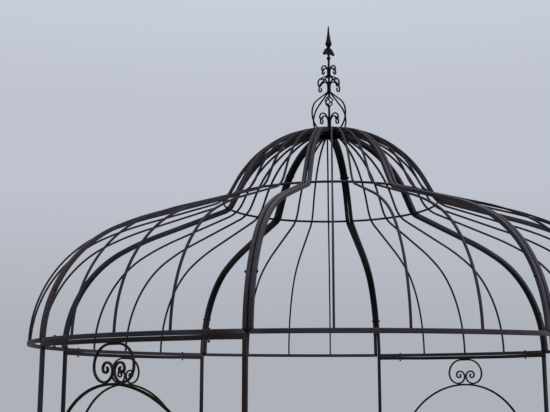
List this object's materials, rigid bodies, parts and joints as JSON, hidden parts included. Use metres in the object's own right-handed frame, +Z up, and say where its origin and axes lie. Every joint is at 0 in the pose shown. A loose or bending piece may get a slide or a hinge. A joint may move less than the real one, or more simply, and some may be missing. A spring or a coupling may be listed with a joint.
{
  "type": "garden bandstand",
  "caption": "Open round metal bandstand with posts, railings, scrolled arches and an onion-curved ribbed roof with a finial.",
  "frame": {"origin": "centre of the round plan at ground level, under the foot plates", "axes": "+Z up along the roof's axis; -Y is the open bay at the front, +X the open bay at the right"},
  "size_m": [4.0246, 4.0246, 4.3555],
  "materials": {
    "roof_tube": "satin, weathered",
    "roof_bar": "satin, weathered",
    "post_tube": "satin, weathered",
    "wall_tube": "satin, weathered",
    "arch_bar": "satin, weathered",
    "wall_bar": "satin, weathered",
    "crown": "satin, weathered",
    "finial": "satin, weathered"
  },
  "bodies": {
    "root": {"corner_rib_1": "roof_tube", "corner_rib_2": "roof_tube", "corner_rib_3": "roof_tube", "corner_rib_4": "roof_tube", "corner_rib_5": "roof_tube", "corner_rib_6": "roof_tube", "corner_rib_7": "roof_tube", "corner_rib_8": "roof_tube", "roof_grid_right": "roof_bar", "roof_grid_back_right": "roof_bar", "roof_grid_back": "roof_bar", "roof_grid_back_left": "roof_bar", "roof_grid_left": "roof_bar", "roof_grid_front_left": "roof_bar", "roof_grid_front": "roof_bar", "roof_grid_front_right": "roof_bar", "post_1": "post_tube", "post_2": "post_tube", "post_3": "post_tube", "post_4": "post_tube", "post_5": "post_tube", "post_6": "post_tube", "post_7": "post_tube", "post_8": "post_tube", "top_rail_back_right": "wall_tube", "top_rail_back_left": "wall_tube", "top_rail_front_left": "wall_tube", "top_rail_front_right": "wall_tube", "arch_back_right": "arch_bar", "arch_back_left": "arch_bar", "arch_front_left": "arch_bar", "arch_front_right": "arch_bar", "scrolls_back_right": "wall_bar", "scrolls_back_left": "wall_bar", "scrolls_front_left": "wall_bar", "scrolls_front_right": "wall_bar", "railing_back_right": "wall_tube", "railing_back_left": "wall_tube", "railing_front_left": "wall_tube", "railing_front_right": "wall_tube", "crown_hub": "crown", "finial_shaft": "finial", "finial_cage": "finial", "finial_scrolls": "finial", "finial_spear": "finial"}
  },
  "joints": []
}
